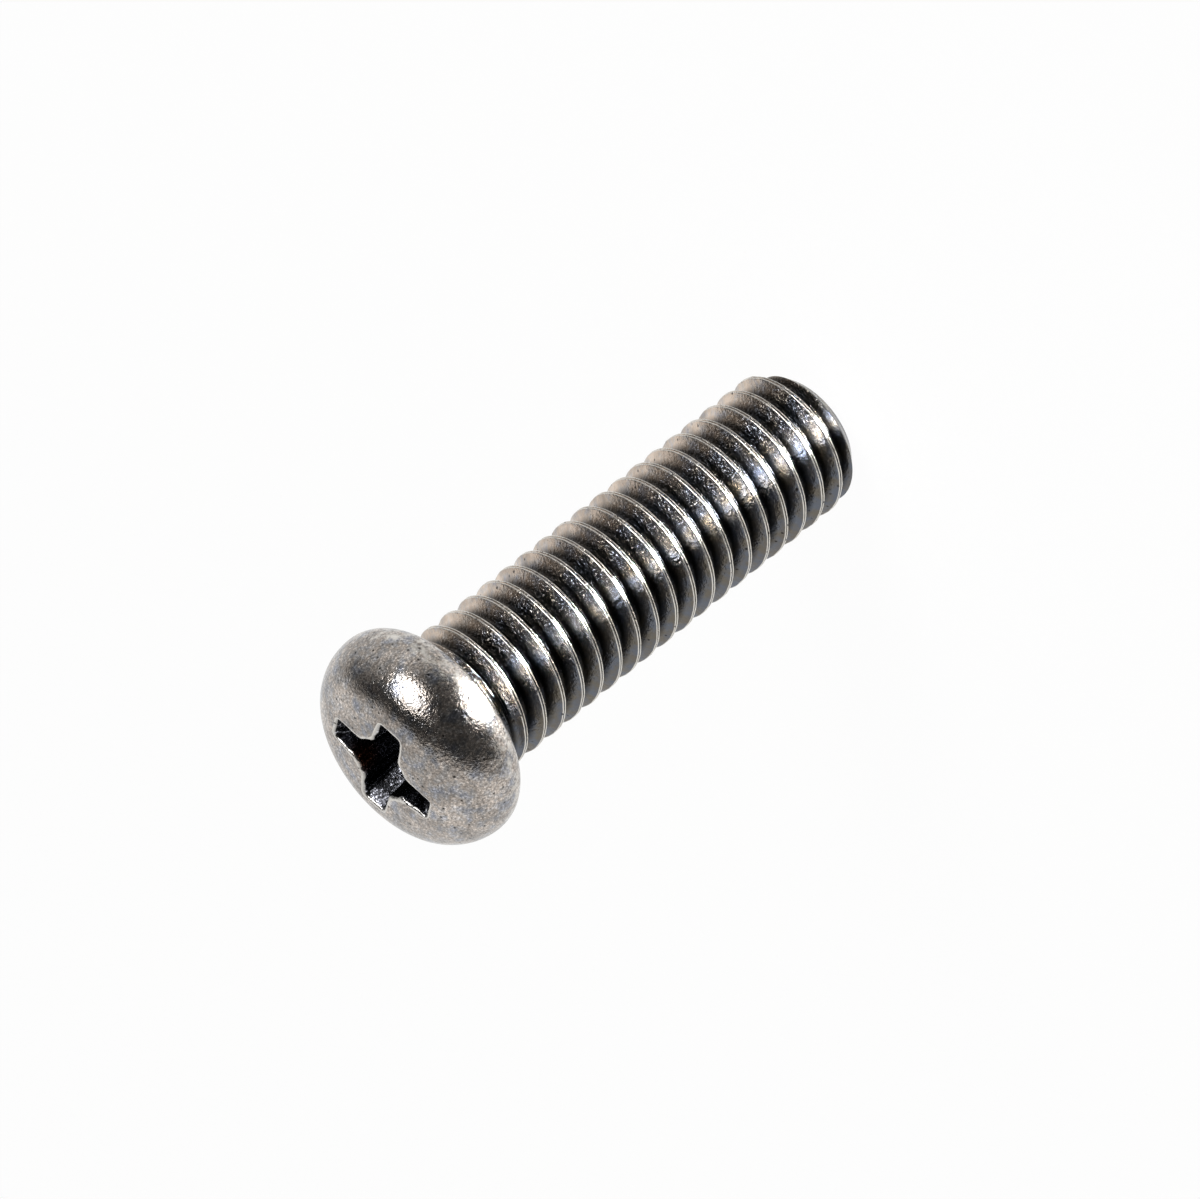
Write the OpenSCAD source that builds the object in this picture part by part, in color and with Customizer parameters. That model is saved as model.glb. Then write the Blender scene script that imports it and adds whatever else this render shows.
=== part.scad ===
// Pan head machine screw with a cross recess and a left-hand thread, in millimetres.
// It is headed and thread-rolled from one piece of wire, so it is one solid.
//
// The origin is the centre of the bearing face, where the shank meets the head. Lying down the
// screw would roll, so it stands on the flat end of its shank, with the head on top. The wings
// of the recess point along X and Y.

/* [Thread] */
// Length under the head, of a screw that is sold as 20 mm long
length = 19.7; // [10:0.1:35]
// Diameter over the crests, of a thread that is sold as 6 mm
thread_d = 5.84; // [5.2:0.02:6.4]
// Distance from crest to crest
pitch = 1; // [0.7:0.05:1.25]
// Depth of the thread, as a share of the pitch
depth_per_pitch = 0.613; // [0.5:0.001:0.65]
// Width of the flat on a crest, as a share of the pitch
crest_per_pitch = 0.125; // [0.08:0.005:0.25]
// Angle between the two flanks of a groove
flank_angle = 60; // [50:1:62]
// Length of the plain neck under the head
neck_l = 0.55; // [0.3:0.05:3]
// Diameter of the plain neck
neck_d = 5.6; // [5:0.02:5.8]
// Radius of the fillet between the neck and the head
neck_fillet_r = 0.2; // [0.05:0.01:0.3]
// Length over which the thread runs out towards the neck
runout_l = 0.8; // [0.2:0.05:3]
// Length of the chamfer on the tip
tip_l = 0.73; // [0.3:0.01:1.5]
// Diameter of the end face
tip_d = 4.38; // [3:0.02:5]
// Distance from the bearing face to the first crest, on the side of the wing along +X
first_crest = 0.52; // [0:0.01:1]

/* [Head] */
// Diameter of the head at its widest
head_d = 8.72; // [7.8:0.02:10]
// Height of the head
head_h = 3.3; // [2.7:0.05:4.5]
// Radius of the crown
crown_r = 31; // [12:1:80]
// Radius of the round edge between the crown and the side
edge_r = 2.2; // [1:0.05:2.6]
// Diameter of the flat bearing face
seat_d = 7.6; // [6.8:0.02:8.4]

/* [Recess] */
// Distance across two wings at the top of the head
recess_d = 4.64; // [3.6:0.02:5.4]
// Depth of the wings
wing_depth = 2.2; // [1.2:0.05:2.4]
// Width of a wing at the top of the head
wing_w = 1.08; // [0.8:0.02:1.4]
// Lean of a wing's two sides
wing_draft = 3; // [0:0.5:6]
// Lean of a wing's outer end
end_draft = 26.5; // [10:0.5:30]
// Diameter of the core between the wings at the top of the head
core_d = 2.5; // [1.6:0.02:3]
// Lean of the core's wall
core_draft = 6; // [2:0.5:10]
// Slope of the point at the bottom of the core
point_slope = 28; // [10:1:35]

/* [Hidden] */
$fn = 96;

// How far a cut reaches past the surface that it opens
over = 0.5;

// Head: the edge arc meets the crown inside the crown's own arc, and it ends at the widest ring.
head_r = head_d / 2;
seat_r = seat_d / 2;
edge_x = head_r - edge_r;
crown_z = head_h - crown_r;
rim_z = crown_z + sqrt(pow(crown_r - edge_r, 2) - pow(edge_x, 2));
join_angle = asin(edge_x / (crown_r - edge_r));
join_x = crown_r * sin(join_angle);
join_z = crown_z + crown_r * cos(join_angle);
// Under the widest ring an arc runs in to the edge of the bearing face.
under_r = (pow(head_r - seat_r, 2) + pow(rim_z, 2)) / (2 * (head_r - seat_r));
under_x = head_r - under_r;

// Shank and thread
thread_r = thread_d / 2;
neck_r = neck_d / 2;
tip_r = tip_d / 2;
thread_depth = depth_per_pitch * pitch;
root_w = pitch - crest_per_pitch * pitch - 2 * thread_depth * tan(flank_angle / 2);
// The groove is cut by a helical bar that stands this far out of the crests.
bar_over = 0.06;
bar_r = thread_r + bar_over;
// The bar takes this many steps in a turn. It starts past the neck and ends clear of the tip.
bar_steps = 40;
bar_rise = pitch / bar_steps;
groove_at = first_crest - pitch / 2;
first_step = ceil((neck_l - groove_at) / bar_rise);
last_step = ceil((length + pitch - groove_at) / bar_rise);
// The cutting starts this far clear of the crests.
start_clear = bar_over / 3;

// Section of the head on one side of the axis: a core to the ends of the three arcs, and a cell
// under each arc
module head_section() {
    polygon([[0, 0], [seat_r, 0], [head_r, rim_z], [join_x, join_z], [0, join_z]]);
    intersection() {
        translate([0, crown_z]) circle(crown_r);
        square([join_x, head_h]);
    }
    intersection() {
        translate([edge_x, rim_z]) circle(edge_r);
        translate([edge_x, rim_z]) square([edge_r + over, edge_r + over]);
    }
    intersection() {
        translate([under_x, rim_z]) circle(under_r);
        translate([join_x, 0]) square([head_r - join_x + over, rim_z]);
    }
}

// Section of the shank: a plain neck, the blank of the thread and the chamfer of the tip
module shank_section() {
    step = abs(thread_r - neck_r);
    polygon([
        [0, over],
        [neck_r, over],
        [neck_r, -neck_l],
        [thread_r, -neck_l - step],
        [thread_r, tip_l - length],
        [tip_r, -length],
        [0, -length]
    ]);
}

// Section of the fillet in the corner between the neck and the bearing face
module fillet_section() {
    difference() {
        translate([neck_r - neck_fillet_r, -neck_fillet_r])
            square([2 * neck_fillet_r, neck_fillet_r + over]);
        translate([neck_r + neck_fillet_r, -neck_fillet_r]) circle(neck_fillet_r);
    }
}

// How much of the full depth the groove has at a distance from the bearing face
function groove_share(run) = min(1, max(0, (run - neck_l) / runout_l));

// The four corners of the bar's section: two at the root of the groove and two outside the crests
function bar_section(run, angle) =
    let (
        root_r = thread_r + start_clear - (thread_depth + start_clear) * groove_share(run),
        root_half = root_w / 2,
        bar_half = root_half + (bar_r - root_r) * tan(flank_angle / 2)
    )
    [for (corner = [[root_r, root_half], [bar_r, bar_half], [bar_r, -bar_half], [root_r, -root_half]])
        [corner[0] * cos(angle), corner[0] * sin(angle), corner[1] - run]];

// The helical bar between two crests. It sinks as it turns anticlockwise, seen from the head,
// and that makes the thread left-handed.
module groove_bar() {
    corners = len(bar_section(0, 0));
    points = [
        for (step = [first_step : last_step])
            each bar_section(groove_at + bar_rise * step, 360 * step / bar_steps)
    ];
    lengths = last_step - first_step;
    sides = [
        for (i = [0 : lengths - 1], j = [0 : corners - 1])
            let (
                here = i * corners + j,
                beside = i * corners + (j + 1) % corners
            )
            each [
                [here, here + corners, beside],
                [beside, here + corners, beside + corners]
            ]
    ];
    last = lengths * corners;
    polyhedron(points, concat([[0, 1, 2, 3]], sides, [[last + 3, last + 2, last + 1, last]]));
}

// One wing pair of the recess: its profile from the side, cut to its profile from the end
module wing_pair() {
    top = head_h + over;
    bottom = head_h - wing_depth;
    reach = recess_d / 2;
    end_lean = tan(end_draft);
    side_lean = tan(wing_draft);
    intersection() {
        rotate([90, 0, 0])
            linear_extrude(recess_d, center = true)
                polygon([
                    [reach + over * end_lean, top],
                    [-reach - over * end_lean, top],
                    [wing_depth * end_lean - reach, bottom],
                    [reach - wing_depth * end_lean, bottom]
                ]);
        rotate([90, 0, 90])
            linear_extrude(2 * recess_d, center = true)
                polygon([
                    [wing_w / 2 + over * side_lean, top],
                    [-wing_w / 2 - over * side_lean, top],
                    [wing_depth * side_lean - wing_w / 2, bottom],
                    [wing_w / 2 - wing_depth * side_lean, bottom]
                ]);
    }
}

// The cross recess: two wing pairs and a core that ends in a shallow point
module recess() {
    core_lean = tan(core_draft);
    core_top_r = core_d / 2 + over * core_lean;
    core_bottom_r = core_d / 2 - wing_depth * core_lean;
    point_h = core_bottom_r * tan(point_slope);
    for (turn = [0, 90])
        rotate([0, 0, turn]) wing_pair();
    rotate_extrude()
        polygon([
            [0, head_h + over],
            [core_top_r, head_h + over],
            [core_bottom_r, head_h - wing_depth],
            [0, head_h - wing_depth - point_h]
        ]);
}

// The screw, with its bearing face at height 0
module machine_screw() {
    color("#4a4846")
        difference() {
            union() {
                rotate_extrude() head_section();
                rotate_extrude() shank_section();
                rotate_extrude() fillet_section();
            }
            groove_bar();
            recess();
        }
}

machine_screw();
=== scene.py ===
"""A worn pan head machine screw with a cross recess and a left-hand thread, on a plain stage.

Sizes are in millimetres in the screw's own frame: the bearing face is at height 0, the head is
above it, and the shank stands on the floor. The stage is in metres, as Blender has it.
"""

from math import acos, atan2, cos, hypot, pi, radians, sin, sqrt, tan

import bmesh
import bpy
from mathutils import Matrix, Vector, noise


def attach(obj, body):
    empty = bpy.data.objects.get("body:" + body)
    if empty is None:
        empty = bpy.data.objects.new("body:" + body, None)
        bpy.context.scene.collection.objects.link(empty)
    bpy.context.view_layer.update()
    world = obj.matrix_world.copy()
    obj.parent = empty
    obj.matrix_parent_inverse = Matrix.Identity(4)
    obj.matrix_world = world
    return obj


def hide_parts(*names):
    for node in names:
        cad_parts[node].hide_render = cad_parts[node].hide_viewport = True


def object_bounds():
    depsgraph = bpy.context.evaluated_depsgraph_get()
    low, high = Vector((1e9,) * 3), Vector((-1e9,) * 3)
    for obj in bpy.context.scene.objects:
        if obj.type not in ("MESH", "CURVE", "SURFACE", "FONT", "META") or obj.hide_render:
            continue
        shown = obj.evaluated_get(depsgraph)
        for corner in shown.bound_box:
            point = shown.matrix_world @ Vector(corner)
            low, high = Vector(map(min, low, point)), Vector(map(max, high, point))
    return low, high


bl_info = {
    "name": "Machine Screw",
    "version": (1, 0, 0),
    "blender": (4, 5, 0),
    "location": "3D View > Sidebar > Screw",
    "description": "Models a worn pan head machine screw and the stage it stands on",
    "category": "Add Mesh",
}

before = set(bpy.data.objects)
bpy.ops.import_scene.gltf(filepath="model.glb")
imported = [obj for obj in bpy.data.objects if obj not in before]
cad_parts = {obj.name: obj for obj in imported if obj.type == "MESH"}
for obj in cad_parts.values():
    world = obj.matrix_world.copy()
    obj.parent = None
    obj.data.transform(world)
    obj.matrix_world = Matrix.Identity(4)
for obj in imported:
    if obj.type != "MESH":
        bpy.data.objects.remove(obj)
CAD_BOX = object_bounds()
MM = 0.001

# The CAD box ends at the tip and is as wide as the head.
LENGTH = -CAD_BOX[0][2] / MM
HEAD_D = 2 * CAD_BOX[1][0] / MM

# Steps of half a wing of the recess outline, from the middle of its end to the middle of the web
END_STEPS, CORNER_STEPS, SIDE_STEPS, WEB_STEPS, CORE_STEPS = 4, 4, 10, 4, 8
HALF_STEPS = END_STEPS + CORNER_STEPS + SIDE_STEPS + WEB_STEPS + CORE_STEPS
COLUMNS = 8 * HALF_STEPS

# Leans in the recess, in degrees: the ends and sides of the wings, the core's wall and its point
END_DRAFT, SIDE_DRAFT, CORE_DRAFT, POINT_SLOPE = 26.5, 3, 6, 28
# Half a wing is narrower at its end and wider at its root by this much.
END_NARROWER, ROOT_WIDER = 0.05, 0.06
# Rounds of a wing's corners and of the web between two wings
CORNER_R, WEB_R = 0.14, 0.15

# Distances below the bearing face at which the head's mesh ends and the shank's mesh starts
HEAD_END, SHANK_START = 0.34, 0.4
# From this ring inward the crown is drawn towards the outline of the recess.
CROWN_RING_R = 2.95
# The soft corner of the bearing face
SEAT_CORNER = 0.05
# Steps of the head's arcs, from the neck's fillet to the recess
FILLET_STEPS, UNDER_STEPS, EDGE_STEPS, LIP_STEPS, WALL_STEPS = 4, 10, 14, 4, 10
# Wear from 0 to 1: on the neck, on the rim of the bearing face and on the head's widest ring
NECK_WEAR, SEAT_WEAR, SIDE_WEAR = 0.3, 0.8, 0.36
# Rings of the crown: how far each is drawn to the recess, and its wear
CROWN_RINGS = [(0.2, 0.0), (0.4, 0.0), (0.6, 0.0), (0.76, 0.0), (0.88, 0.05), (0.95, 0.3), (1.0, 0.7)]
# Wear of the rings round the recess's worn edge
LIP_WEAR = [1.0, 1.0, 0.6, 0.2]
# Chips in that edge, as depth and number to a millimetre: broad ones and fine ones
BROAD_CHIPS, FINE_CHIPS = (0.06, 3), (0.015, 14)
# The soft corner at the foot of the recess's walls, the rings of its point as shares of the
# core's radius, and how blunt the point is
FOOT_CORNER, POINT_RINGS, POINT_BLUNT = 0.04, [0.93, 0.6, 0.3, 0.1], 0.03

# Half the profile of a rolled thread, from the seam on its crest to the middle of its root:
# shares of the pitch and of the depth
HALF_PROFILE = [
    (0.0, 0.09), (0.02, 0.08), (0.036, 0.035), (0.048, 0.004), (0.058, 0.0), (0.07, 0.01),
    (0.085, 0.045), (0.105, 0.1), (0.13, 0.17), (0.165, 0.275), (0.21, 0.4), (0.27, 0.57),
    (0.33, 0.74), (0.375, 0.86), (0.41, 0.93), (0.45, 0.98), (0.5, 1.0),
]
TURN_STEPS = 120
# How softly the thread meets the tip's chamfer, and how far short of the end face it is cut
SOFT_EDGE, CUT_SHORT = 0.03, 0.03
# Depth over which a crest counts as rubbed
RUBBED_DEPTH = 0.045
# Dents along the crests, as depth and number to a millimetre, and the stretch before the tip
# over which they grow three times as deep
BROAD_DENTS, FINE_DENTS = (0.012, 2.2), (0.01, 6)
BATTERED_L, BATTERED_END = 1.6, 0.4
# Rings of the end face, as shares of its radius
END_RINGS = [0.985, 0.6, 0.2]

# Sizes of the marks in the plating, from one to the next. The real speckle is finer than this:
# it is as coarse as it needs to show.
PATCH, CLOUD, SPECKLE, PIT, RUB, HAMMER = 0.6667, 2.0, 0.0909, 0.4167, 0.3846, 0.125
DRAW_LINE_W, DRAW_LINE_L = 0.1111, 2.0
# The side of the shank that was rubbed clean, and where the grooves are painted lighter as a sheen towards
# the room's glow, as an azimuth, and the shank's radius
RUBBED_SHEEN_SIDE, SHANK_R = 165, 2.9
# The rust in the recess and the darkest wing's end, and the distances over which they fade
RUST_AT, RUST_FADE = (-0.7, 1.0, 2.9), (0.7, 0.3)
DARK_END_AT, DARK_END_FADE = (-2.1, 0.0, 2.4), (0.4, 1.0)
# Depths of the hammering and of the fine grain
HAMMER_DEPTH, GRAIN_DEPTH = 0.03, 0.01

# Round board under the screw, in metres. The tent rises from its edge: where its back is, how far
# round it reaches on each side, and its rings as radius and height.
BOARD_R, BOARD_SIDES = 0.042, 96
TENT_BACK, TENT_SPREAD = -100, 108
TENT_RINGS = [(0.12, -0.0197), (0.2, -0.0197), (0.235, -0.01), (0.25, 0.02), (0.25, 0.1),
              (0.24, 0.17), (0.2, 0.24), (0.13, 0.28), (0.05, 0.29)]
# Towards one side the tent sinks by this share, and its roof stays as wide as its wall.
SUNK_SHARE, SUNK_R, ROOF_Z = 0.78, 0.25, 0.1
SUNK_FROM, SUNK_TO = 0.72, 0.9
# How white the board is to the camera, and how strongly the metal mirrors the tent and the floor
CAMERA_WHITE, TENT_MIRRORED, FLOOR_MIRRORED = 0.97, 0.93, 0.2
# Azimuth of the floor in front of the screw, which mirrors less than the floor behind it
FRONT_SIDE = 75

# Softboxes, in metres: one high behind the screw, and one in front that stands just off the floor
HIGH_BOX_AZIMUTH, HIGH_BOX_ELEVATION, HIGH_BOX_DISTANCE = 119, 40, 0.3
HIGH_BOX_SIZE, LOW_BOX_SIZE = (0.09, 0.175), (0.007, 0.017)
LOW_BOX_AZIMUTH, LOW_BOX_DISTANCE, LOW_BOX_RISE, LOW_BOX_AIM = 60, 0.0395, 0.0058, 0.085
# Strips in the board that light the grooves from below, in metres: near end, far end, width, and
# share of the radiance
STRIP_AZIMUTH, STRIP_RISE = 61.5, 0.0002
STRIPS = [(0.004, 0.011, 0.0014, 1.0), (0.011, 0.026, 0.0036, 1.0), (0.026, 0.038, 0.0042, 0.1)]
# The dim room glows from low behind the screw.
GLOW_AZIMUTH, GLOW_ELEVATION = 165, -19.9

# Where the photo was taken from, in metres, and how the camera was turned, in degrees
CAMERA_AT = (0.21609925, -0.07689917, 0.11982923)
CAMERA_TURN = (-48.18054, 43.0521, -78.13259)


# Small helpers

def linear(hex_colour):
    """Turns an sRGB hex colour into linear light."""
    parts = [int(hex_colour[i:i + 2], 16) / 255 for i in (1, 3, 5)]
    return [c / 12.92 if c <= 0.04045 else ((c + 0.055) / 1.055) ** 2.4 for c in parts]


def smooth_step(low, high, value):
    """Rises smoothly from 0 at low to 1 at high."""
    t = min(1.0, max(0.0, (value - low) / (high - low)))
    return t * t * (3 - 2 * t)


def toward(azimuth, elevation=0.0):
    """A direction from an azimuth, anticlockwise from -Y, and an elevation, in degrees."""
    around, up = radians(azimuth), radians(elevation)
    return Vector((sin(around) * cos(up), -cos(around) * cos(up), sin(up)))


def dents(spot, broad, fine):
    """Broad and fine dents at a place, each given as depth and number to a millimetre."""
    return sum(depth * noise.noise(spot * number) for depth, number in (broad, fine))


def select_none():
    """Leaves edit mode and deselects every object."""
    if bpy.context.object and bpy.context.object.mode != "OBJECT":
        bpy.ops.object.mode_set(mode="OBJECT")
    bpy.ops.object.select_all(action="DESELECT")


def select_verts(piece, wanted):
    """Selects the vertices, and the edges between them, that pass the test, in edit mode."""
    bpy.ops.mesh.select_mode(type="VERT")
    mesh = bmesh.from_edit_mesh(piece.data)
    for face in mesh.faces:
        face.select = False
    for vert in mesh.verts:
        vert.select = wanted(vert.co)
    mesh.select_flush_mode()
    bmesh.update_edit_mesh(piece.data)


def select_edges(piece, wanted):
    """Selects the edges whose middle passes the test, in edit mode."""
    bpy.ops.mesh.select_mode(type="EDGE")
    mesh = bmesh.from_edit_mesh(piece.data)
    for face in mesh.faces:
        face.select = False
    for edge in mesh.edges:
        edge.select = wanted((edge.verts[0].co + edge.verts[1].co) / 2)
    bmesh.update_edit_mesh(piece.data)


def extrude_ring(piece, place):
    """Extrudes the selected ring and puts each of its vertices where place says."""
    bpy.ops.mesh.extrude_region_move()
    mesh = bmesh.from_edit_mesh(piece.data)
    for vert in mesh.verts:
        if vert.select:
            vert.co = place(vert.co)
    bmesh.update_edit_mesh(piece.data)


# The forms of the screw

class Form:
    """The screw's section, worked out from the sizes in the sidebar."""

    def __init__(self, sizes):
        mm = {name: getattr(sizes, name) / MM for name in sizes.__annotations__}
        self.length, self.pitch, self.depth = mm["length"], mm["pitch"], mm["thread_depth"]
        self.thread_r, self.neck_r, self.tip_r = mm["thread_d"] / 2, mm["neck_d"] / 2, mm["tip_d"] / 2
        self.first_crest, self.runout_l = mm["first_crest"], mm["runout_l"]
        self.neck_l, self.tip_l, self.fillet_r = mm["neck_l"], mm["tip_l"], mm["neck_fillet_r"]
        self.head_r, self.head_h, self.seat_r = mm["head_d"] / 2, mm["head_h"], mm["seat_d"] / 2
        self.crown_r, self.edge_r = mm["crown_r"], mm["edge_r"]
        self.reach, self.wing_half = mm["recess_d"] / 2, mm["wing_w"] / 2
        self.core_r, self.wing_depth, self.worn_r = mm["core_d"] / 2, mm["wing_depth"], mm["worn_edge_r"]
        self.edge_x = self.head_r - self.edge_r
        self.crown_z = self.head_h - self.crown_r
        self.rim_z = self.crown_z + sqrt((self.crown_r - self.edge_r) ** 2 - self.edge_x ** 2)
        self.join_x = self.crown_r * self.edge_x / (self.crown_r - self.edge_r)
        out = self.head_r - self.seat_r
        self.under_r = (out ** 2 + self.rim_z ** 2) / (2 * out)
        self.under_x = self.head_r - self.under_r

    def top(self, r):
        """Height of the crown and of its round edge at a distance from the axis."""
        if r < self.join_x:
            return self.crown_z + sqrt(self.crown_r ** 2 - r ** 2)
        return self.rim_z + sqrt(max(0.0, self.edge_r ** 2 - (r - self.edge_x) ** 2))

    def half_wing(self, step, depth, out):
        """A point of the recess outline at a depth, moved outward, on the half wing above +X."""
        reach = self.reach - depth * tan(radians(END_DRAFT)) + out
        half = self.wing_half - depth * tan(radians(SIDE_DRAFT)) + out
        root_half = half + ROOT_WIDER
        core = self.core_r - depth * tan(radians(CORE_DRAFT)) + out
        corner, web = CORNER_R + out, WEB_R + out
        side_end = Vector((reach, half - END_NARROWER))
        side_root = Vector((sqrt(core ** 2 - root_half ** 2), root_half))
        along = (side_root - side_end).normalized()
        root_angle = atan2(side_root.y, side_root.x)

        def bend(a, b, c, t):
            return a * (1 - t) ** 2 + b * 2 * t * (1 - t) + c * t * t

        def on_core(angle):
            return Vector((core * cos(angle), core * sin(angle)))

        end_stop = Vector((reach, side_end.y - corner))
        side_from, side_to = side_end + along * corner, side_root - along * web
        core_from = root_angle + web / core
        if step <= END_STEPS:
            return Vector((reach, 0)).lerp(end_stop, step / END_STEPS)
        step -= END_STEPS
        if step <= CORNER_STEPS:
            return bend(end_stop, side_end, side_from, step / CORNER_STEPS)
        step -= CORNER_STEPS
        if step <= SIDE_STEPS:
            return side_from.lerp(side_to, step / SIDE_STEPS)
        step -= SIDE_STEPS
        if step <= WEB_STEPS:
            return bend(side_to, side_root, on_core(core_from), step / WEB_STEPS)
        step -= WEB_STEPS
        return on_core(core_from + (pi / 4 - core_from) * step / CORE_STEPS)

    def outline(self, column, depth, out):
        """A point of the whole recess outline."""
        wing = ((column + HALF_STEPS) // (2 * HALF_STEPS)) % 4
        step = (column + HALF_STEPS) % (2 * HALF_STEPS) - HALF_STEPS
        point = self.half_wing(abs(step), depth, out)
        x, y = point.x, point.y * (1 if step >= 0 else -1)
        return [(x, y), (-y, x), (-x, -y), (y, -x)][wing]


def circle(column, r):
    """A point of a full ring on one of the head's columns."""
    angle = 2 * pi * column / COLUMNS
    return r * cos(angle), r * sin(angle)


def place_ring(piece, place, wear=0.0, inside=0.0):
    """Puts each vertex of the selected ring where place says for its column, and marks its wear."""
    mesh = bmesh.from_edit_mesh(piece.data)
    column = mesh.verts.layers.int["column"]
    worn, within = mesh.verts.layers.float["wear"], mesh.verts.layers.float["inside"]
    for vert in mesh.verts:
        if vert.select:
            vert.co = Vector(place(vert[column])) * MM
            vert[worn], vert[within] = wear, inside
    bmesh.update_edit_mesh(piece.data)


def next_ring(piece, place, wear=0.0, inside=0.0):
    """Extrudes the selected ring of the head and places the new one."""
    bpy.ops.mesh.extrude_region_move()
    place_ring(piece, place, wear, inside)


def start_head(form):
    """The neck's lowest ring, with a number for each column and room for the wear."""
    select_none()
    bpy.ops.mesh.primitive_circle_add(vertices=COLUMNS, radius=form.neck_r * MM)
    head = bpy.context.object
    columns = head.data.attributes.new("column", "INT", "POINT")
    for index in range(COLUMNS):
        columns.data[index].value = index
    head.data.attributes.new("wear", "FLOAT", "POINT")
    head.data.attributes.new("inside", "FLOAT", "POINT")
    bpy.ops.object.mode_set(mode="EDIT")
    bpy.ops.mesh.select_all(action="SELECT")
    place_ring(head, lambda c: (*circle(c, form.neck_r), -HEAD_END), NECK_WEAR)
    return head


def add_head_side(form, head):
    """Fillet, bearing face, the arc under the widest ring and the round edge over it."""
    def ring(r, z, wear=0.0):
        next_ring(head, lambda c: (*circle(c, r), z), wear)

    ring(form.neck_r, -form.fillet_r, NECK_WEAR)
    for k in range(1, FILLET_STEPS + 1):
        turn = pi / 2 * k / FILLET_STEPS
        ring(form.neck_r + form.fillet_r * (1 - cos(turn)), -form.fillet_r * (1 - sin(turn)))
    ring((form.neck_r + form.seat_r) / 2, 0.0, NECK_WEAR)
    ring(form.seat_r - SEAT_CORNER, 0.0, SEAT_WEAR)
    # The arc starts a little up from the bearing face, so that the corner is soft.
    low = -0.98 * acos((form.seat_r - form.under_x) / form.under_r)
    for k in range(1, UNDER_STEPS + 1):
        turn = low * (1 - k / UNDER_STEPS)
        ring(form.under_x + form.under_r * cos(turn), form.rim_z + form.under_r * sin(turn), SIDE_WEAR)
    high = acos((CROWN_RING_R - form.edge_x) / form.edge_r)
    for k in range(1, EDGE_STEPS + 1):
        turn = high * k / EDGE_STEPS
        wear = SIDE_WEAR * max(0.0, 1 - k / 4)
        ring(form.edge_x + form.edge_r * cos(turn), form.rim_z + form.edge_r * sin(turn), wear)


def add_crown(form, head):
    """Crown, drawn in from a circle to the outline of the recess, and the worn edge there."""
    def crown(share):
        def place(c):
            x, y = circle(c, CROWN_RING_R)
            u, v = form.outline(c, 0, form.worn_r)
            x, y = x * (1 - share) + u * share, y * (1 - share) + v * share
            return x, y, form.top(hypot(x, y))
        return place

    def lip(turn):
        def place(c):
            out, down = form.worn_r * (1 - sin(turn)), form.worn_r * (1 - cos(turn))
            x, y = form.outline(c, 0, out)
            chip = BROAD_CHIPS[0] * sin(turn) * noise.noise(Vector((x, y, 0)) * BROAD_CHIPS[1])
            chip += FINE_CHIPS[0] * noise.noise(Vector((x, y, 3)) * FINE_CHIPS[1])
            x, y = form.outline(c, 0, out + chip)
            return x, y, form.top(hypot(x, y)) - down
        return place

    for share, wear in CROWN_RINGS:
        next_ring(head, crown(share), wear)
    for k, wear in enumerate(LIP_WEAR, 1):
        next_ring(head, lip(pi / 2 * k / LIP_STEPS), wear, k / LIP_STEPS)


def add_recess(form, head):
    """Walls of the recess, the floor of its wings and the point of its core."""
    floor_z = form.head_h - form.wing_depth
    core_r = form.core_r - form.wing_depth * tan(radians(CORE_DRAFT))
    slope = tan(radians(POINT_SLOPE))

    def wall(share, pull=0.0):
        def place(c):
            z = form.top(hypot(*form.outline(c, 0, 0))) - form.worn_r
            z = z * (1 - share) + floor_z * share
            return *form.outline(c, form.head_h - z, -pull), z
        return place

    for k in range(1, WALL_STEPS + 1):
        next_ring(head, wall(k / WALL_STEPS - 0.02), 0.0, 1.0)
    next_ring(head, wall(1.0, FOOT_CORNER), 0.0, 1.0)
    for share in POINT_RINGS:
        r = core_r * share
        z = floor_z - (core_r - r) * slope
        next_ring(head, lambda c: (*circle(c, r), z), 0.0, 1.0)
    next_ring(head, lambda c: (0, 0, floor_z - core_r * slope + POINT_BLUNT), 0.0, 1.0)
    bpy.ops.mesh.merge(type="CENTER")
    bpy.ops.object.mode_set(mode="OBJECT")


def model_head(form):
    """Cold-headed head: rings from the neck over the bearing face and the crown into the recess."""
    head = start_head(form)
    add_head_side(form, head)
    add_crown(form, head)
    add_recess(form, head)
    return head


def sweep_thread(form):
    """One pitch of the profile, swept down a left-hand helix past both ends of the shank."""
    ring = HALF_PROFILE + [(1 - share, deep) for share, deep in reversed(HALF_PROFILE[:-1])]
    select_none()
    bpy.ops.mesh.primitive_circle_add(vertices=len(ring), radius=form.thread_r * MM)
    shank = bpy.context.object
    bpy.ops.object.mode_set(mode="EDIT")
    mesh = bmesh.from_edit_mesh(shank.data)
    mesh.verts.ensure_lookup_table()
    last = mesh.verts[len(ring) - 1]
    for edge in mesh.edges:
        edge.select = mesh.verts[0] in edge.verts and last in edge.verts
    for vert, (share, deep) in zip(mesh.verts, ring):
        run = form.first_crest + form.pitch * (share - 2)
        vert.co = Vector((form.thread_r - form.depth * deep, 0, -run)) * MM
    bmesh.update_edit_mesh(shank.data)
    bpy.ops.mesh.delete(type="EDGE")
    bpy.ops.object.mode_set(mode="OBJECT")
    sweep = shank.modifiers.new("Thread rolling", "SCREW")
    sweep.axis = "Z"
    sweep.angle = 2 * pi
    sweep.screw_offset = -form.pitch * MM
    sweep.iterations = int(form.length / form.pitch) + 4
    sweep.steps = sweep.render_steps = TURN_STEPS
    sweep.use_merge_vertices = False
    bpy.ops.object.modifier_apply(modifier=sweep.name)
    bpy.ops.object.mode_set(mode="EDIT")
    bpy.ops.mesh.select_all(action="SELECT")
    bpy.ops.mesh.remove_doubles(threshold=1e-6)
    return shank


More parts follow.
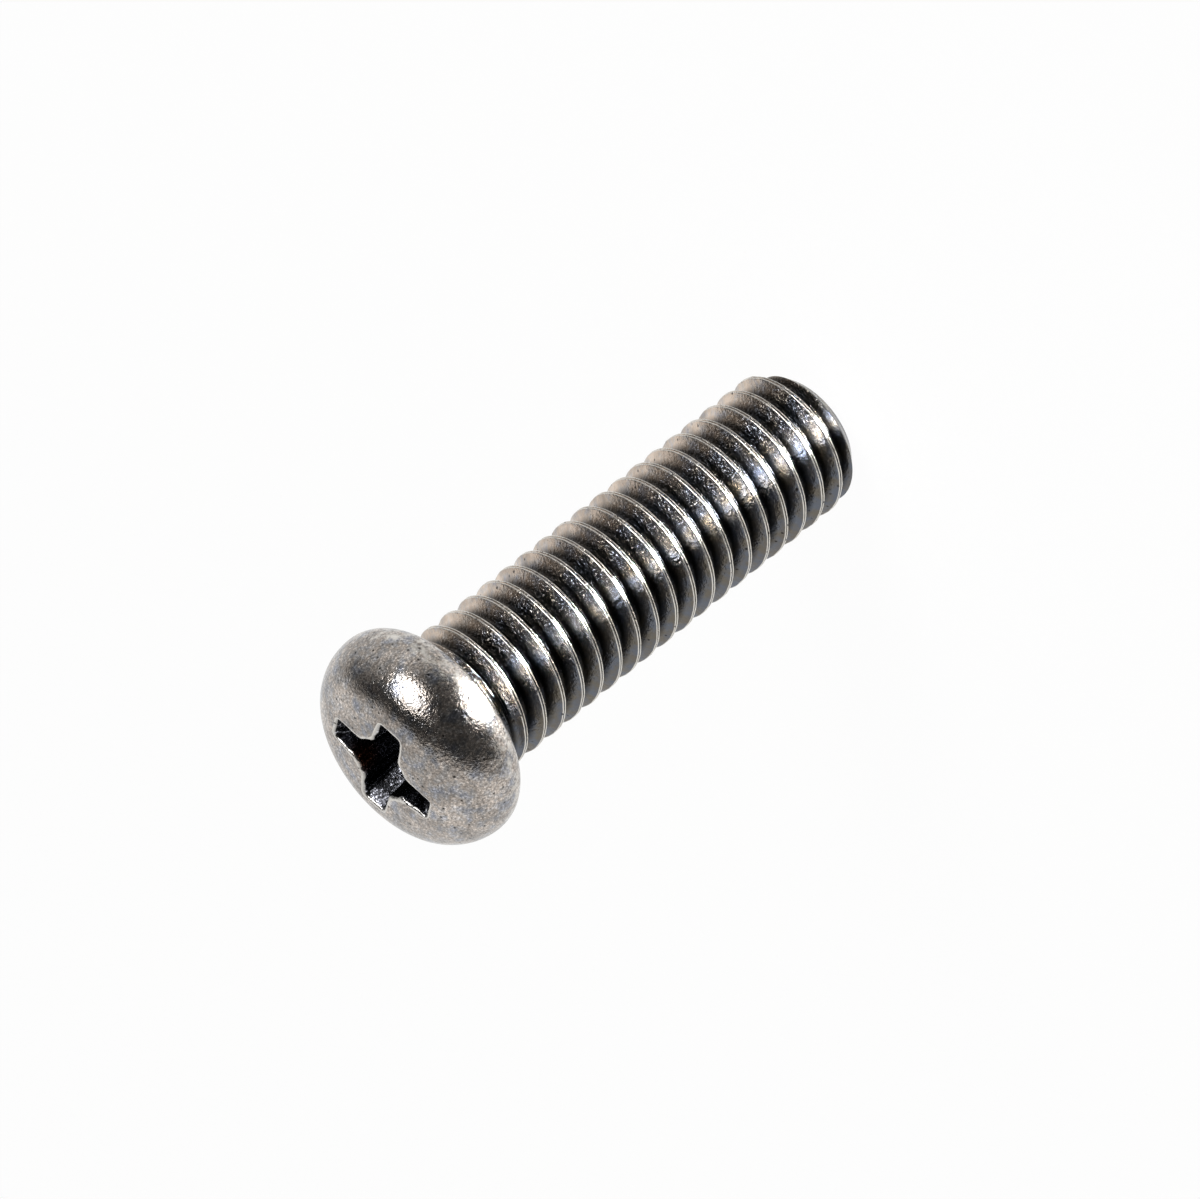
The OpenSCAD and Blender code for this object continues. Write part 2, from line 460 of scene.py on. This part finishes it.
def cut_to_length(form):
    """Cuts the shank square under the head and just short of the end face."""
    for z, side in ((-SHANK_START, "clear_outer"), (CUT_SHORT - form.length, "clear_inner")):
        bpy.ops.mesh.select_all(action="SELECT")
        bpy.ops.mesh.bisect(plane_co=(0, 0, z * MM), plane_no=(0, 0, 1), threshold=1e-7, **{side: True})


def wear_thread(form, shank):
    """Runs the thread out towards the neck, chamfers the tip, dents the crests and marks the wear."""
    mesh = bmesh.from_edit_mesh(shank.data)
    worn = mesh.verts.layers.float.new("wear")
    groove = mesh.verts.layers.float.new("groove")
    mesh.verts.layers.float.new("inside")
    mesh.verts.layers.int.new("column")
    for vert in mesh.verts:
        x, y, run = vert.co.x / MM, vert.co.y / MM, -vert.co.z / MM
        r = hypot(x, y)
        deep = form.thread_r - r
        share = smooth_step(form.neck_l - 0.1, form.neck_l + form.runout_l, run)
        swell = smooth_step(form.neck_l, form.neck_l + 0.16, run)
        blank = form.neck_r + (form.thread_r - form.neck_r) * swell
        crest = smooth_step(0.2, 0.0, deep)
        dent = dents(Vector((x, y, run)), BROAD_DENTS, FINE_DENTS)
        dent *= 1 + 2 * smooth_step(form.length - BATTERED_L, form.length - BATTERED_END, run)
        new = blank - deep * share + dent * (0.35 + 0.65 * crest) * share
        # The chamfer meets the thread in a soft edge.
        cone = form.tip_r + (form.length - run) * (form.thread_r - form.tip_r) / form.tip_l
        gap = max(0.0, SOFT_EDGE - abs(new - cone)) / SOFT_EDGE
        new = min(new, cone) - gap * gap * SOFT_EDGE / 4
        vert.co.x, vert.co.y = x / r * new * MM, y / r * new * MM
        shown = smooth_step(form.neck_l, form.neck_l + 0.3, run)
        vert[worn] = smooth_step(RUBBED_DEPTH, 0.0, deep) * shown
        vert[groove] = max(deep / form.depth, 0.06 * (1 - shown))
    bmesh.update_edit_mesh(shank.data)


def close_tip(form, shank):
    """Draws the cut in to the flat end face."""
    low = (CUT_SHORT + 0.001 - form.length) * MM
    select_verts(shank, lambda co: co.z < low)
    for share in END_RINGS:
        def place(co):
            flat = Vector((co.x, co.y, 0)).normalized() * share * form.tip_r
            return Vector((flat.x, flat.y, -form.length)) * MM
        extrude_ring(shank, place)
    bpy.ops.mesh.extrude_region_move()
    bpy.ops.mesh.merge(type="CENTER")
    bpy.ops.object.mode_set(mode="OBJECT")


def model_shank(form):
    """Thread-rolled shank, from just under the head to the end face."""
    shank = sweep_thread(form)
    cut_to_length(form)
    wear_thread(form, shank)
    close_tip(form, shank)
    return shank


def join_head_and_shank(head, shank):
    """Joins the two meshes at the neck into one closed skin."""
    select_none()
    head.select_set(True)
    shank.select_set(True)
    bpy.context.view_layer.objects.active = head
    bpy.ops.object.join()
    bpy.ops.object.mode_set(mode="EDIT")
    upper, lower = (0.01 - HEAD_END) * MM, (-0.01 - SHANK_START) * MM
    select_verts(head, lambda co: lower < co.z < upper)
    bpy.ops.mesh.bridge_edge_loops()
    bpy.ops.mesh.select_all(action="SELECT")
    bpy.ops.mesh.remove_doubles(threshold=1e-7)
    bpy.ops.mesh.normals_make_consistent(inside=False)
    bpy.ops.object.mode_set(mode="OBJECT")
    bpy.ops.object.shade_smooth_by_angle(angle=radians(40))
    return head


# Materials

# Settings of a colour mix by a factor and of a product of two colours
BLEND = {"data_type": "RGBA"}
MULTIPLY = {"data_type": "RGBA", "blend_type": "MULTIPLY", 0: 1.0}


def add_node(tree, kind, settings=None, links=None):
    """Adds a node, sets its options, inputs and colour stops, and links sockets to its inputs."""
    node = tree.nodes.new(kind)
    for name, value in (settings or {}).items():
        if name == "stops":
            set_stops(node.color_ramp.elements, value)
        elif isinstance(name, int) or name in node.inputs:
            node.inputs[name].default_value = value
        else:
            setattr(node, name, value)
    for name, socket in (links or {}).items():
        tree.links.new(socket, node.inputs[name])
    return node


def set_stops(elements, stops):
    """Gives a colour ramp its stops, each a position and a colour or a grey."""
    while len(elements) < len(stops):
        elements.new(0.5)
    for element, (position, tone) in zip(elements, stops):
        element.position = position
        element.color = tone if hasattr(tone, "__len__") else (tone, tone, tone, 1)


def new_material(name):
    """An empty node material."""
    material = bpy.data.materials.new(name)
    material.use_nodes = True
    material.node_tree.nodes.clear()
    return material, material.node_tree


def scale(gap):
    """The scale of a pattern whose marks are this far apart."""
    return 1 / (gap * MM)


def metres(place):
    """A place in metres."""
    return Vector(place) * MM


def face_film(tree, place, patches, speckle, colours):
    """Film of the faces in tan and blue patches, and that film rubbed to bare steel in flakes."""
    tint = add_node(tree, "ShaderNodeValToRGB", {"stops": [
        (0.34, colours["blue"]), (0.45, colours["film"]), (0.54, colours["tan"]),
        (0.66, colours["film"])]}, {"Fac": patches}).outputs["Color"]
    clouds = add_node(tree, "ShaderNodeTexNoise", {"Scale": scale(CLOUD), "Detail": 5.0, "Roughness": 0.7},
                      {"Vector": place}).outputs["Fac"]
    clouds = add_node(tree, "ShaderNodeValToRGB", {"stops": [(0.36, 0.6), (0.5, 0.9), (0.62, 1.22)]},
                      {"Fac": clouds}).outputs["Color"]
    tint = add_node(tree, "ShaderNodeMix", MULTIPLY, {6: tint, 7: clouds}).outputs[2]
    dots = add_node(tree, "ShaderNodeValToRGB", {"stops": [
        (0.34, 0.4), (0.45, 0.85), (0.55, 1.05), (0.65, 2.0)]}, {"Fac": speckle}).outputs["Color"]
    film = add_node(tree, "ShaderNodeMix", {**MULTIPLY, 0: 0.8}, {6: tint, 7: dots}).outputs[2]
    wear = add_node(tree, "ShaderNodeAttribute", {"attribute_name": "wear"}).outputs["Fac"]
    broken = add_node(tree, "ShaderNodeTexNoise", {"Scale": scale(RUB), "Detail": 4.0, "Roughness": 0.65},
                      {"Vector": place}).outputs["Fac"]
    rubbed = add_node(tree, "ShaderNodeMath", {"operation": "MULTIPLY_ADD", 1: 1.6},
                      {0: broken, 2: wear}).outputs[0]
    bare = add_node(tree, "ShaderNodeMapRange", {"From Min": 1.12, "From Max": 1.45},
                    {"Value": rubbed}).outputs["Result"]
    worn = add_node(tree, "ShaderNodeMix", {**BLEND, 7: colours["steel"]}, {0: bare, 6: film}).outputs[2]
    return tint, worn


def groove_film(tree, depth, patches, speckle, tint, rubbed_and_sheen_side, gritty, colours):
    """Film of the thread's grooves: dark brown and slate, gritty to one side, rubbed clean beyond, and
    painted lighter there as a sheen.
    """
    slate = add_node(tree, "ShaderNodeValToRGB", {"stops": [
        (0.4, colours["groove_slate"]), (0.6, colours["groove_brown"])]}, {"Fac": patches}).outputs["Color"]
    flecks = add_node(tree, "ShaderNodeValToRGB", {"stops": [
        (0.42, 0.2), (0.52, 0.45), (0.58, 1.6), (0.66, 6.0)]}, {"Fac": speckle}).outputs["Color"]
    flank = add_node(tree, "ShaderNodeMix", MULTIPLY, {0: gritty, 6: slate, 7: flecks}).outputs[2]
    # Painted sheen: on the rubbed side, which faces the room's glow, the flank takes the face film made
    # lighter.
    painted_sheen = add_node(tree, "ShaderNodeMix", {**MULTIPLY, 7: (1.4, 1.3, 1.2, 1)}, {6: tint}).outputs[2]
    flank = add_node(tree, "ShaderNodeMix", BLEND, {0: rubbed_and_sheen_side, 6: flank, 7: painted_sheen}).outputs[2]
    # Painted shade: the film darkens towards the root, where the crests shade the groove.
    root = add_node(tree, "ShaderNodeValToRGB", {"stops": [(0.4, 1.0), (0.8, 0.15)]},
                    {"Fac": depth}).outputs["Color"]
    return add_node(tree, "ShaderNodeMix", MULTIPLY, {6: flank, 7: root}).outputs[2]


def recess_film(tree, place, speckle, colours):
    """Film of the recess, which no hand has rubbed: dark, with draw lines, grit and a rust stain."""
    rust = add_node(tree, "ShaderNodeVectorMath", {"operation": "DISTANCE", 1: metres(RUST_AT)},
                    {0: place}).outputs["Value"]
    rust = add_node(tree, "ShaderNodeMapRange",
                    {"From Min": RUST_FADE[0] * MM, "From Max": RUST_FADE[1] * MM},
                    {"Value": rust}).outputs["Result"]
    film = add_node(tree, "ShaderNodeMix", {**BLEND, 6: colours["recess"], 7: colours["rust"]},
                    {0: rust}).outputs[2]
    end = add_node(tree, "ShaderNodeVectorMath", {"operation": "DISTANCE", 1: metres(DARK_END_AT)},
                   {0: place}).outputs["Value"]
    end = add_node(tree, "ShaderNodeMapRange",
                   {"From Min": DARK_END_FADE[0] * MM, "From Max": DARK_END_FADE[1] * MM, "To Min": 0.2},
                   {"Value": end}).outputs["Result"]
    grit = add_node(tree, "ShaderNodeValToRGB", {"stops": [(0.45, 0.3), (0.56, 0.7), (0.66, 4.0)]},
                    {"Fac": speckle}).outputs["Color"]
    across, along = scale(DRAW_LINE_W), scale(DRAW_LINE_L)
    lines = add_node(tree, "ShaderNodeMapping", {"Scale": (across, across, along)},
                     {"Vector": place}).outputs["Vector"]
    lines = add_node(tree, "ShaderNodeTexNoise", {"Scale": 1.0, "Detail": 1.0},
                     {"Vector": lines}).outputs["Fac"]
    lines = add_node(tree, "ShaderNodeValToRGB", {"stops": [(0.4, 0.6), (0.58, 1.1), (0.7, 2.4)]},
                     {"Fac": lines}).outputs["Color"]
    for layer in (end, grit, lines):
        film = add_node(tree, "ShaderNodeMix", MULTIPLY, {6: film, 7: layer}).outputs[2]
    return film


def hammered_skin(tree, place, speckle, pits, rougher):
    """The normal of a tumbled skin: small dents, deeper where rougher is 1, pits and fine grain."""
    hammered = add_node(tree, "ShaderNodeTexNoise",
                        {"Scale": scale(HAMMER), "Detail": 3.0, "Roughness": 0.6},
                        {"Vector": place}).outputs["Fac"]
    rise = add_node(tree, "ShaderNodeMath", {"operation": "MULTIPLY_ADD", 1: 3.0, 2: 1.0},
                    {0: rougher}).outputs[0]
    hammered = add_node(tree, "ShaderNodeMath", {"operation": "MULTIPLY"},
                        {0: hammered, 1: rise}).outputs[0]
    height = add_node(tree, "ShaderNodeMath", {"operation": "MULTIPLY_ADD", 1: -0.5},
                      {0: pits, 2: hammered}).outputs[0]
    normal = add_node(tree, "ShaderNodeBump", {"Strength": 0.6, "Distance": HAMMER_DEPTH * MM},
                      {"Height": height}).outputs["Normal"]
    return add_node(tree, "ShaderNodeBump", {"Strength": 0.5, "Distance": GRAIN_DEPTH * MM},
                    {"Height": speckle, "Normal": normal}).outputs["Normal"]


def worn_black_zinc(colours):
    """Black zinc plating over cold-formed steel, handled for years: brown-black with tan and blue
    patches, rubbed to bare steel on the crests and edges, dotted with pits."""
    material, tree = new_material("worn_black_zinc_plating")
    place = add_node(tree, "ShaderNodeTexCoord").outputs["Object"]
    patches = add_node(tree, "ShaderNodeTexNoise", {"Scale": scale(PATCH), "Detail": 4.0, "Roughness": 0.6},
                       {"Vector": place}).outputs["Fac"]
    speckle = add_node(tree, "ShaderNodeTexNoise",
                       {"Scale": scale(SPECKLE), "Detail": 2.0, "Roughness": 0.7},
                       {"Vector": place}).outputs["Fac"]
    pits = add_node(tree, "ShaderNodeTexVoronoi", {"Scale": scale(PIT), "Randomness": 1.0},
                    {"Vector": place}).outputs["Distance"]
    pits = add_node(tree, "ShaderNodeValToRGB", {"stops": [(0.05, 1.0), (0.17, 0.0)]},
                    {"Fac": pits}).outputs["Color"]
    # Where the surface lies: deep in a groove, on which side of the shank, or inside the recess
    depth = add_node(tree, "ShaderNodeAttribute", {"attribute_name": "groove"}).outputs["Fac"]
    inside = add_node(tree, "ShaderNodeAttribute", {"attribute_name": "inside"}).outputs["Fac"]
    deep = add_node(tree, "ShaderNodeMapRange", {"From Min": 0.02, "From Max": 0.06},
                    {"Value": depth}).outputs["Result"]
    side = add_node(tree, "ShaderNodeVectorMath",
                    {"operation": "DOT_PRODUCT", 1: toward(RUBBED_SHEEN_SIDE) / (SHANK_R * MM)},
                    {0: place}).outputs["Value"]
    # The rubbed side, where the grooves are also painted lighter as a sheen
    rubbed_and_sheen_side = add_node(tree, "ShaderNodeMapRange", {"From Min": 0.4, "From Max": 0.85},
                           {"Value": side}).outputs["Result"]
    gritty = add_node(tree, "ShaderNodeMapRange", {"From Min": -0.3, "From Max": 0.1},
                      {"Value": side}).outputs["Result"]
    # Colour
    tint, faces = face_film(tree, place, patches, speckle, colours)
    grooves = groove_film(tree, depth, patches, speckle, tint, rubbed_and_sheen_side, gritty, colours)
    recess = recess_film(tree, place, speckle, colours)
    metal = add_node(tree, "ShaderNodeMix", BLEND, {0: deep, 6: faces, 7: grooves}).outputs[2]
    metal = add_node(tree, "ShaderNodeMix", BLEND, {0: inside, 6: metal, 7: recess}).outputs[2]
    metal = add_node(tree, "ShaderNodeMix", {**BLEND, 7: colours["pit"]}, {0: pits, 6: metal}).outputs[2]
    # Roughness follows the patches, and rolling has left the grooves smoother.
    rough = add_node(tree, "ShaderNodeMapRange",
                     {"From Min": 0.3, "From Max": 0.7, "To Min": 0.13, "To Max": 0.24},
                     {"Value": patches}).outputs["Result"]
    rolled = add_node(tree, "ShaderNodeMapRange", {"To Min": 1.0, "To Max": 0.7},
                      {"Value": deep}).outputs["Result"]
    rough = add_node(tree, "ShaderNodeMath", {"operation": "MULTIPLY"}, {0: rough, 1: rolled}).outputs[0]
    # Dents are deeper on the gritty side of the grooves, up to where it is rubbed clean.
    rougher = add_node(tree, "ShaderNodeMath", {"operation": "SUBTRACT", 0: 1.0},
                       {1: rubbed_and_sheen_side}).outputs[0]
    for part in (deep, gritty):
        rougher = add_node(tree, "ShaderNodeMath", {"operation": "MULTIPLY"},
                           {0: rougher, 1: part}).outputs[0]
    normal = hammered_skin(tree, place, speckle, pits, rougher)
    shader = add_node(tree, "ShaderNodeBsdfPrincipled", {"Metallic": 1.0},
                      {"Base Color": metal, "Roughness": rough, "Normal": normal})
    add_node(tree, "ShaderNodeOutputMaterial", None, {"Surface": shader.outputs["BSDF"]})
    return material


def matt_white_board(name, paint, mirrored):
    """Matt white board: it shows white to the camera and takes a faint shadow. In the metal it shows
    as strongly as mirrored says in front of the screw, and as strongly as the tent behind it."""
    material, tree = new_material(name)
    path = add_node(tree, "ShaderNodeLightPath")
    metal = add_node(tree, "ShaderNodeMath", {"operation": "MAXIMUM"},
                     {0: path.outputs["Is Glossy Ray"], 1: path.outputs["Is Transmission Ray"]})
    place = add_node(tree, "ShaderNodeTexCoord").outputs["Object"]
    out = add_node(tree, "ShaderNodeVectorMath", {"operation": "NORMALIZE"}, {0: place}).outputs["Vector"]
    front = add_node(tree, "ShaderNodeVectorMath", {"operation": "DOT_PRODUCT", 1: toward(FRONT_SIDE)},
                     {0: out}).outputs["Value"]
    level = add_node(tree, "ShaderNodeMapRange",
                     {"From Min": -0.1, "From Max": 0.5, "To Min": TENT_MIRRORED, "To Max": mirrored},
                     {"Value": front})
    metal = add_node(tree, "ShaderNodeMath", {"operation": "MULTIPLY"},
                     {0: metal.outputs[0], 1: level.outputs["Result"]})
    camera = add_node(tree, "ShaderNodeMath", {"operation": "MULTIPLY", 1: CAMERA_WHITE},
                      {0: path.outputs["Is Camera Ray"]})
    share = add_node(tree, "ShaderNodeMath", {"operation": "MAXIMUM"},
                     {0: camera.outputs[0], 1: metal.outputs[0]})
    matt = add_node(tree, "ShaderNodeBsdfDiffuse", {"Color": (*paint, 1)})
    white = add_node(tree, "ShaderNodeEmission", {"Color": (1, 1, 1, 1), "Strength": 1.0})
    mix = add_node(tree, "ShaderNodeMixShader", None,
                   {0: share.outputs[0], 1: matt.outputs[0], 2: white.outputs[0]})
    add_node(tree, "ShaderNodeOutputMaterial", None, {"Surface": mix.outputs[0]})
    return material


# The stage

def add_tent(stage, ground):
    """A round board under the screw, and a tent that curves up from it behind and overhead."""
    select_none()
    bpy.ops.mesh.primitive_circle_add(vertices=BOARD_SIDES, radius=BOARD_R, fill_type="NGON",
                                      location=(0, 0, ground))
    tent = bpy.context.object
    tent.name = "white_tent"
    back, spread = toward(TENT_BACK), cos(radians(TENT_SPREAD))
    beside = Vector((back.y, -back.x, 0))
    bpy.ops.object.mode_set(mode="EDIT")
    select_edges(tent, lambda middle: middle.normalized().dot(back) > spread)
    for r, z in TENT_RINGS:
        def place(co):
            out = Vector((co.x, co.y, 0)).normalized()
            sunk = smooth_step(SUNK_FROM, SUNK_TO, out.dot(beside))
            out *= r * (1 - sunk) + SUNK_R * sunk if z > ROOF_Z else r
            return Vector((out.x, out.y, ground + (z - ground) * (1 - SUNK_SHARE * sunk)))
        extrude_ring(tent, place)
    bpy.ops.mesh.select_all(action="SELECT")
    bpy.ops.mesh.normals_make_consistent(inside=True)
    bpy.ops.object.mode_set(mode="OBJECT")
    bpy.ops.object.transform_apply(location=True, rotation=True, scale=True)
    bpy.ops.object.shade_smooth()
    tent.data.materials.append(matt_white_board("matt_white_tent", stage.board, TENT_MIRRORED))
    tent.data.materials.append(matt_white_board("matt_white_board", stage.board, FLOOR_MIRRORED))
    for face in tent.data.polygons:
        if max(tent.data.vertices[v].co.z for v in face.vertices) < ground + 1e-5:
            face.material_index = 1
    return tent


def add_softbox(name, location, extent, power, target):
    """A soft rectangular lamp that faces a point."""
    bpy.ops.object.light_add(type="AREA", location=location)
    lamp = bpy.context.object
    lamp.name = name
    lamp.data.shape = "RECTANGLE"
    lamp.data.size, lamp.data.size_y = extent
    lamp.data.energy = power
    lamp.rotation_euler = (Vector(target) - lamp.location).to_track_quat("-Z", "Y").to_euler()


def add_lamps(stage, ground):
    """A high softbox, a low one, and strips in the board that light the grooves from below."""
    add_softbox("high_softbox", toward(HIGH_BOX_AZIMUTH, HIGH_BOX_ELEVATION) * HIGH_BOX_DISTANCE,
                HIGH_BOX_SIZE, stage.high_power, (0, 0, 0))
    low = toward(LOW_BOX_AZIMUTH) * LOW_BOX_DISTANCE
    low.z = ground + LOW_BOX_RISE
    add_softbox("low_softbox", low, LOW_BOX_SIZE, stage.low_power, (0, 0, ground + LOW_BOX_AIM))
    for near, far, width, share in STRIPS:
        middle = toward(STRIP_AZIMUTH) * (near + far) / 2
        middle.z = ground + STRIP_RISE
        bpy.ops.object.light_add(type="AREA", location=middle,
                                 rotation=(pi, 0, radians(STRIP_AZIMUTH) - pi / 2))
        strip = bpy.context.object
        strip.name = "strip_light"
        strip.data.shape = "RECTANGLE"
        strip.data.size, strip.data.size_y = far - near, width
        strip.data.energy = share * stage.strip_radiance * pi * (far - near) * width
        strip.visible_camera = False


def add_room(scene):
    """A dim room that glows from low behind the screw, and is white to the camera."""
    world = bpy.data.worlds.new("dim_room")
    scene.world = world
    world.use_nodes = True
    tree = world.node_tree
    tree.nodes.clear()
    way = add_node(tree, "ShaderNodeTexCoord").outputs["Generated"]
    glow = add_node(tree, "ShaderNodeVectorMath",
                    {"operation": "DOT_PRODUCT", 1: toward(GLOW_AZIMUTH, GLOW_ELEVATION)}, {0: way})
    tone = add_node(tree, "ShaderNodeValToRGB", {"stops": [
        (0.3, 0.055), (0.6, 0.2), (0.8, 0.5), (0.93, 1.1)]}, {"Fac": glow.outputs["Value"]})
    room = add_node(tree, "ShaderNodeBackground", {"Strength": 1.0}, {"Color": tone.outputs["Color"]})
    beyond = add_node(tree, "ShaderNodeBackground", {"Color": (1, 1, 1, 1), "Strength": 1.0})
    path = add_node(tree, "ShaderNodeLightPath")
    mix = add_node(tree, "ShaderNodeMixShader", None,
                   {0: path.outputs["Is Camera Ray"], 1: room.outputs[0], 2: beyond.outputs[0]})
    add_node(tree, "ShaderNodeOutputWorld", None, {"Surface": mix.outputs[0]})


def add_camera(scene, focal):
    """The camera where the photo was taken from."""
    bpy.ops.object.camera_add(location=CAMERA_AT, rotation=[radians(turn) for turn in CAMERA_TURN])
    camera = bpy.context.object
    camera.name = "camera"
    camera.data.sensor_width = 36
    camera.data.lens = focal
    camera.data.clip_start = 0.01
    scene.camera = camera


# Settings that a user can change

def size(name, description, millimetres):
    """A length shown in the sidebar."""
    return bpy.props.FloatProperty(name=name, description=description, default=millimetres * MM,
                                   min=0.0, precision=5, unit="LENGTH")


def colour(name, description, hex_colour):
    """A colour shown in the sidebar."""
    return bpy.props.FloatVectorProperty(name=name, description=description, subtype="COLOR", size=3,
                                         min=0.0, max=1.0, default=linear(hex_colour))


class ScrewSizes(bpy.types.PropertyGroup):
    """Sizes of the screw."""
    length: size("Length", "From the bearing face to the tip", LENGTH)
    thread_d: size("Thread diameter", "Across the crests", 5.84)
    pitch: size("Pitch", "From crest to crest", 1.0)
    thread_depth: size("Thread depth", "From crest to root", 0.613)
    first_crest: size("First crest", "From the bearing face, on the side of the wing along +X", 0.52)
    neck_l: size("Neck length", "Of the plain neck under the head", 0.55)
    neck_d: size("Neck diameter", "Across the plain neck", 5.6)
    neck_fillet_r: size("Neck fillet", "Between the neck and the bearing face", 0.2)
    runout_l: size("Run-out", "Over which the thread fades towards the neck", 0.8)
    tip_l: size("Tip chamfer", "Length of the chamfer", 0.73)
    tip_d: size("End face", "Across the end face", 4.38)
    head_d: size("Head diameter", "At its widest", HEAD_D)
    head_h: size("Head height", "From the bearing face to the crown", 3.3)
    crown_r: size("Crown radius", "Of the shallow dome", 31.0)
    edge_r: size("Edge radius", "Between the crown and the side", 2.2)
    seat_d: size("Bearing face", "Across the flat bearing face", 7.6)
    recess_d: size("Recess", "Across two wings at the top", 4.64)
    wing_depth: size("Wing depth", "Below the top of the head", 2.2)
    wing_w: size("Wing width", "At the top", 1.08)
    core_d: size("Core", "Across the core at the top", 2.5)
    worn_edge_r: size("Worn edge", "Round worn onto the edge of the recess", 0.12)


class ScrewFinish(bpy.types.PropertyGroup):
    """Colours of the plating, as the metal reflects white light."""
    film: colour("Film", "Black zinc film on the faces", "#a6a29f")
    tan: colour("Tan patches", "Where the film has worn thin", "#aea49b")
    blue: colour("Blue patches", "Where the film is thickest", "#9799a1")
    steel: colour("Bare steel", "On rubbed crests and edges", "#dad6cf")
    groove_brown: colour("Brown of the grooves", "Film in the grooves of the thread", "#69645c")
    groove_slate: colour("Slate of the grooves", "Thicker film in the grooves", "#62666e")
    recess: colour("Recess", "Film that no hand has rubbed", "#66676d")
    rust: colour("Rust", "Brown stain in the recess", "#6b4432")
    pit: colour("Pits", "Dirt in the pits", "#1d1a18")


class ScrewStage(bpy.types.PropertyGroup):
    """The board, the lamps and the camera."""
    board: colour("Board", "Matt board under and behind the screw", "#e6e6e4")
    focal: bpy.props.FloatProperty(name="Focal length", description="Of the lens", default=214.77,
                                   unit="CAMERA")
    high_power: bpy.props.FloatProperty(name="High softbox", description="Power of the softbox above",
                                        default=0.6, unit="POWER")
    low_power: bpy.props.FloatProperty(name="Low softbox", description="Power of the softbox in front",
                                       default=0.006, unit="POWER")
    strip_radiance: bpy.props.FloatProperty(name="Strip lights",
                                            description="Radiance of the strips in the board",
                                            default=380.0, min=0.0)


# Operators

class SCREW_OT_model(bpy.types.Operator):
    """Model the screw in one piece and give it its finish"""
    bl_idname = "screw.model"
    bl_label = "Machine screw"

    def execute(self, context):
        form = Form(context.scene.screw_sizes)
        finish = context.scene.screw_finish
        piece = join_head_and_shank(model_head(form), model_shank(form))
        piece.name = piece.data.name = "worn_machine_screw"
        colours = {name: (*getattr(finish, name), 1.0) for name in finish.__annotations__}
        piece.data.materials.append(worn_black_zinc(colours))
        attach(piece, "root")
        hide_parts("machine_screw")
        return {"FINISHED"}


class SCREW_OT_stage(bpy.types.Operator):
    """Set the board, the lamps and the camera"""
    bl_idname = "screw.stage"
    bl_label = "Stage"

    def execute(self, context):
        scene = context.scene
        ground = -scene.screw_sizes.length
        tent = add_tent(scene.screw_stage, ground)
        add_lamps(scene.screw_stage, ground)
        add_room(scene)
        add_camera(scene, scene.screw_stage.focal)
        scene.view_settings.view_transform = "Standard"
        return {"FINISHED"}


class SCREW_PT_panel(bpy.types.Panel):
    """The screw's sizes, finish and stage"""
    bl_idname = "SCREW_PT_panel"
    bl_label = "Machine Screw"
    bl_space_type = "VIEW_3D"
    bl_region_type = "UI"
    bl_category = "Screw"

    def draw(self, context):
        for group, operator in (("screw_sizes", None), ("screw_finish", SCREW_OT_model),
                                ("screw_stage", SCREW_OT_stage)):
            settings = getattr(context.scene, group)
            for name in settings.__annotations__:
                self.layout.prop(settings, name)
            if operator:
                self.layout.operator(operator.bl_idname)


CLASSES = (ScrewSizes, ScrewFinish, ScrewStage, SCREW_OT_model, SCREW_OT_stage, SCREW_PT_panel)


def register():
    for cls in CLASSES:
        bpy.utils.register_class(cls)
    scene = bpy.types.Scene
    scene.screw_sizes = bpy.props.PointerProperty(type=ScrewSizes)
    scene.screw_finish = bpy.props.PointerProperty(type=ScrewFinish)
    scene.screw_stage = bpy.props.PointerProperty(type=ScrewStage)


def unregister():
    scene = bpy.types.Scene
    del scene.screw_sizes, scene.screw_finish, scene.screw_stage
    for cls in reversed(CLASSES):
        bpy.utils.unregister_class(cls)


def main():
    register()
    bpy.ops.screw.model()
    bpy.ops.screw.stage()


if __name__ == "__main__":
    main()
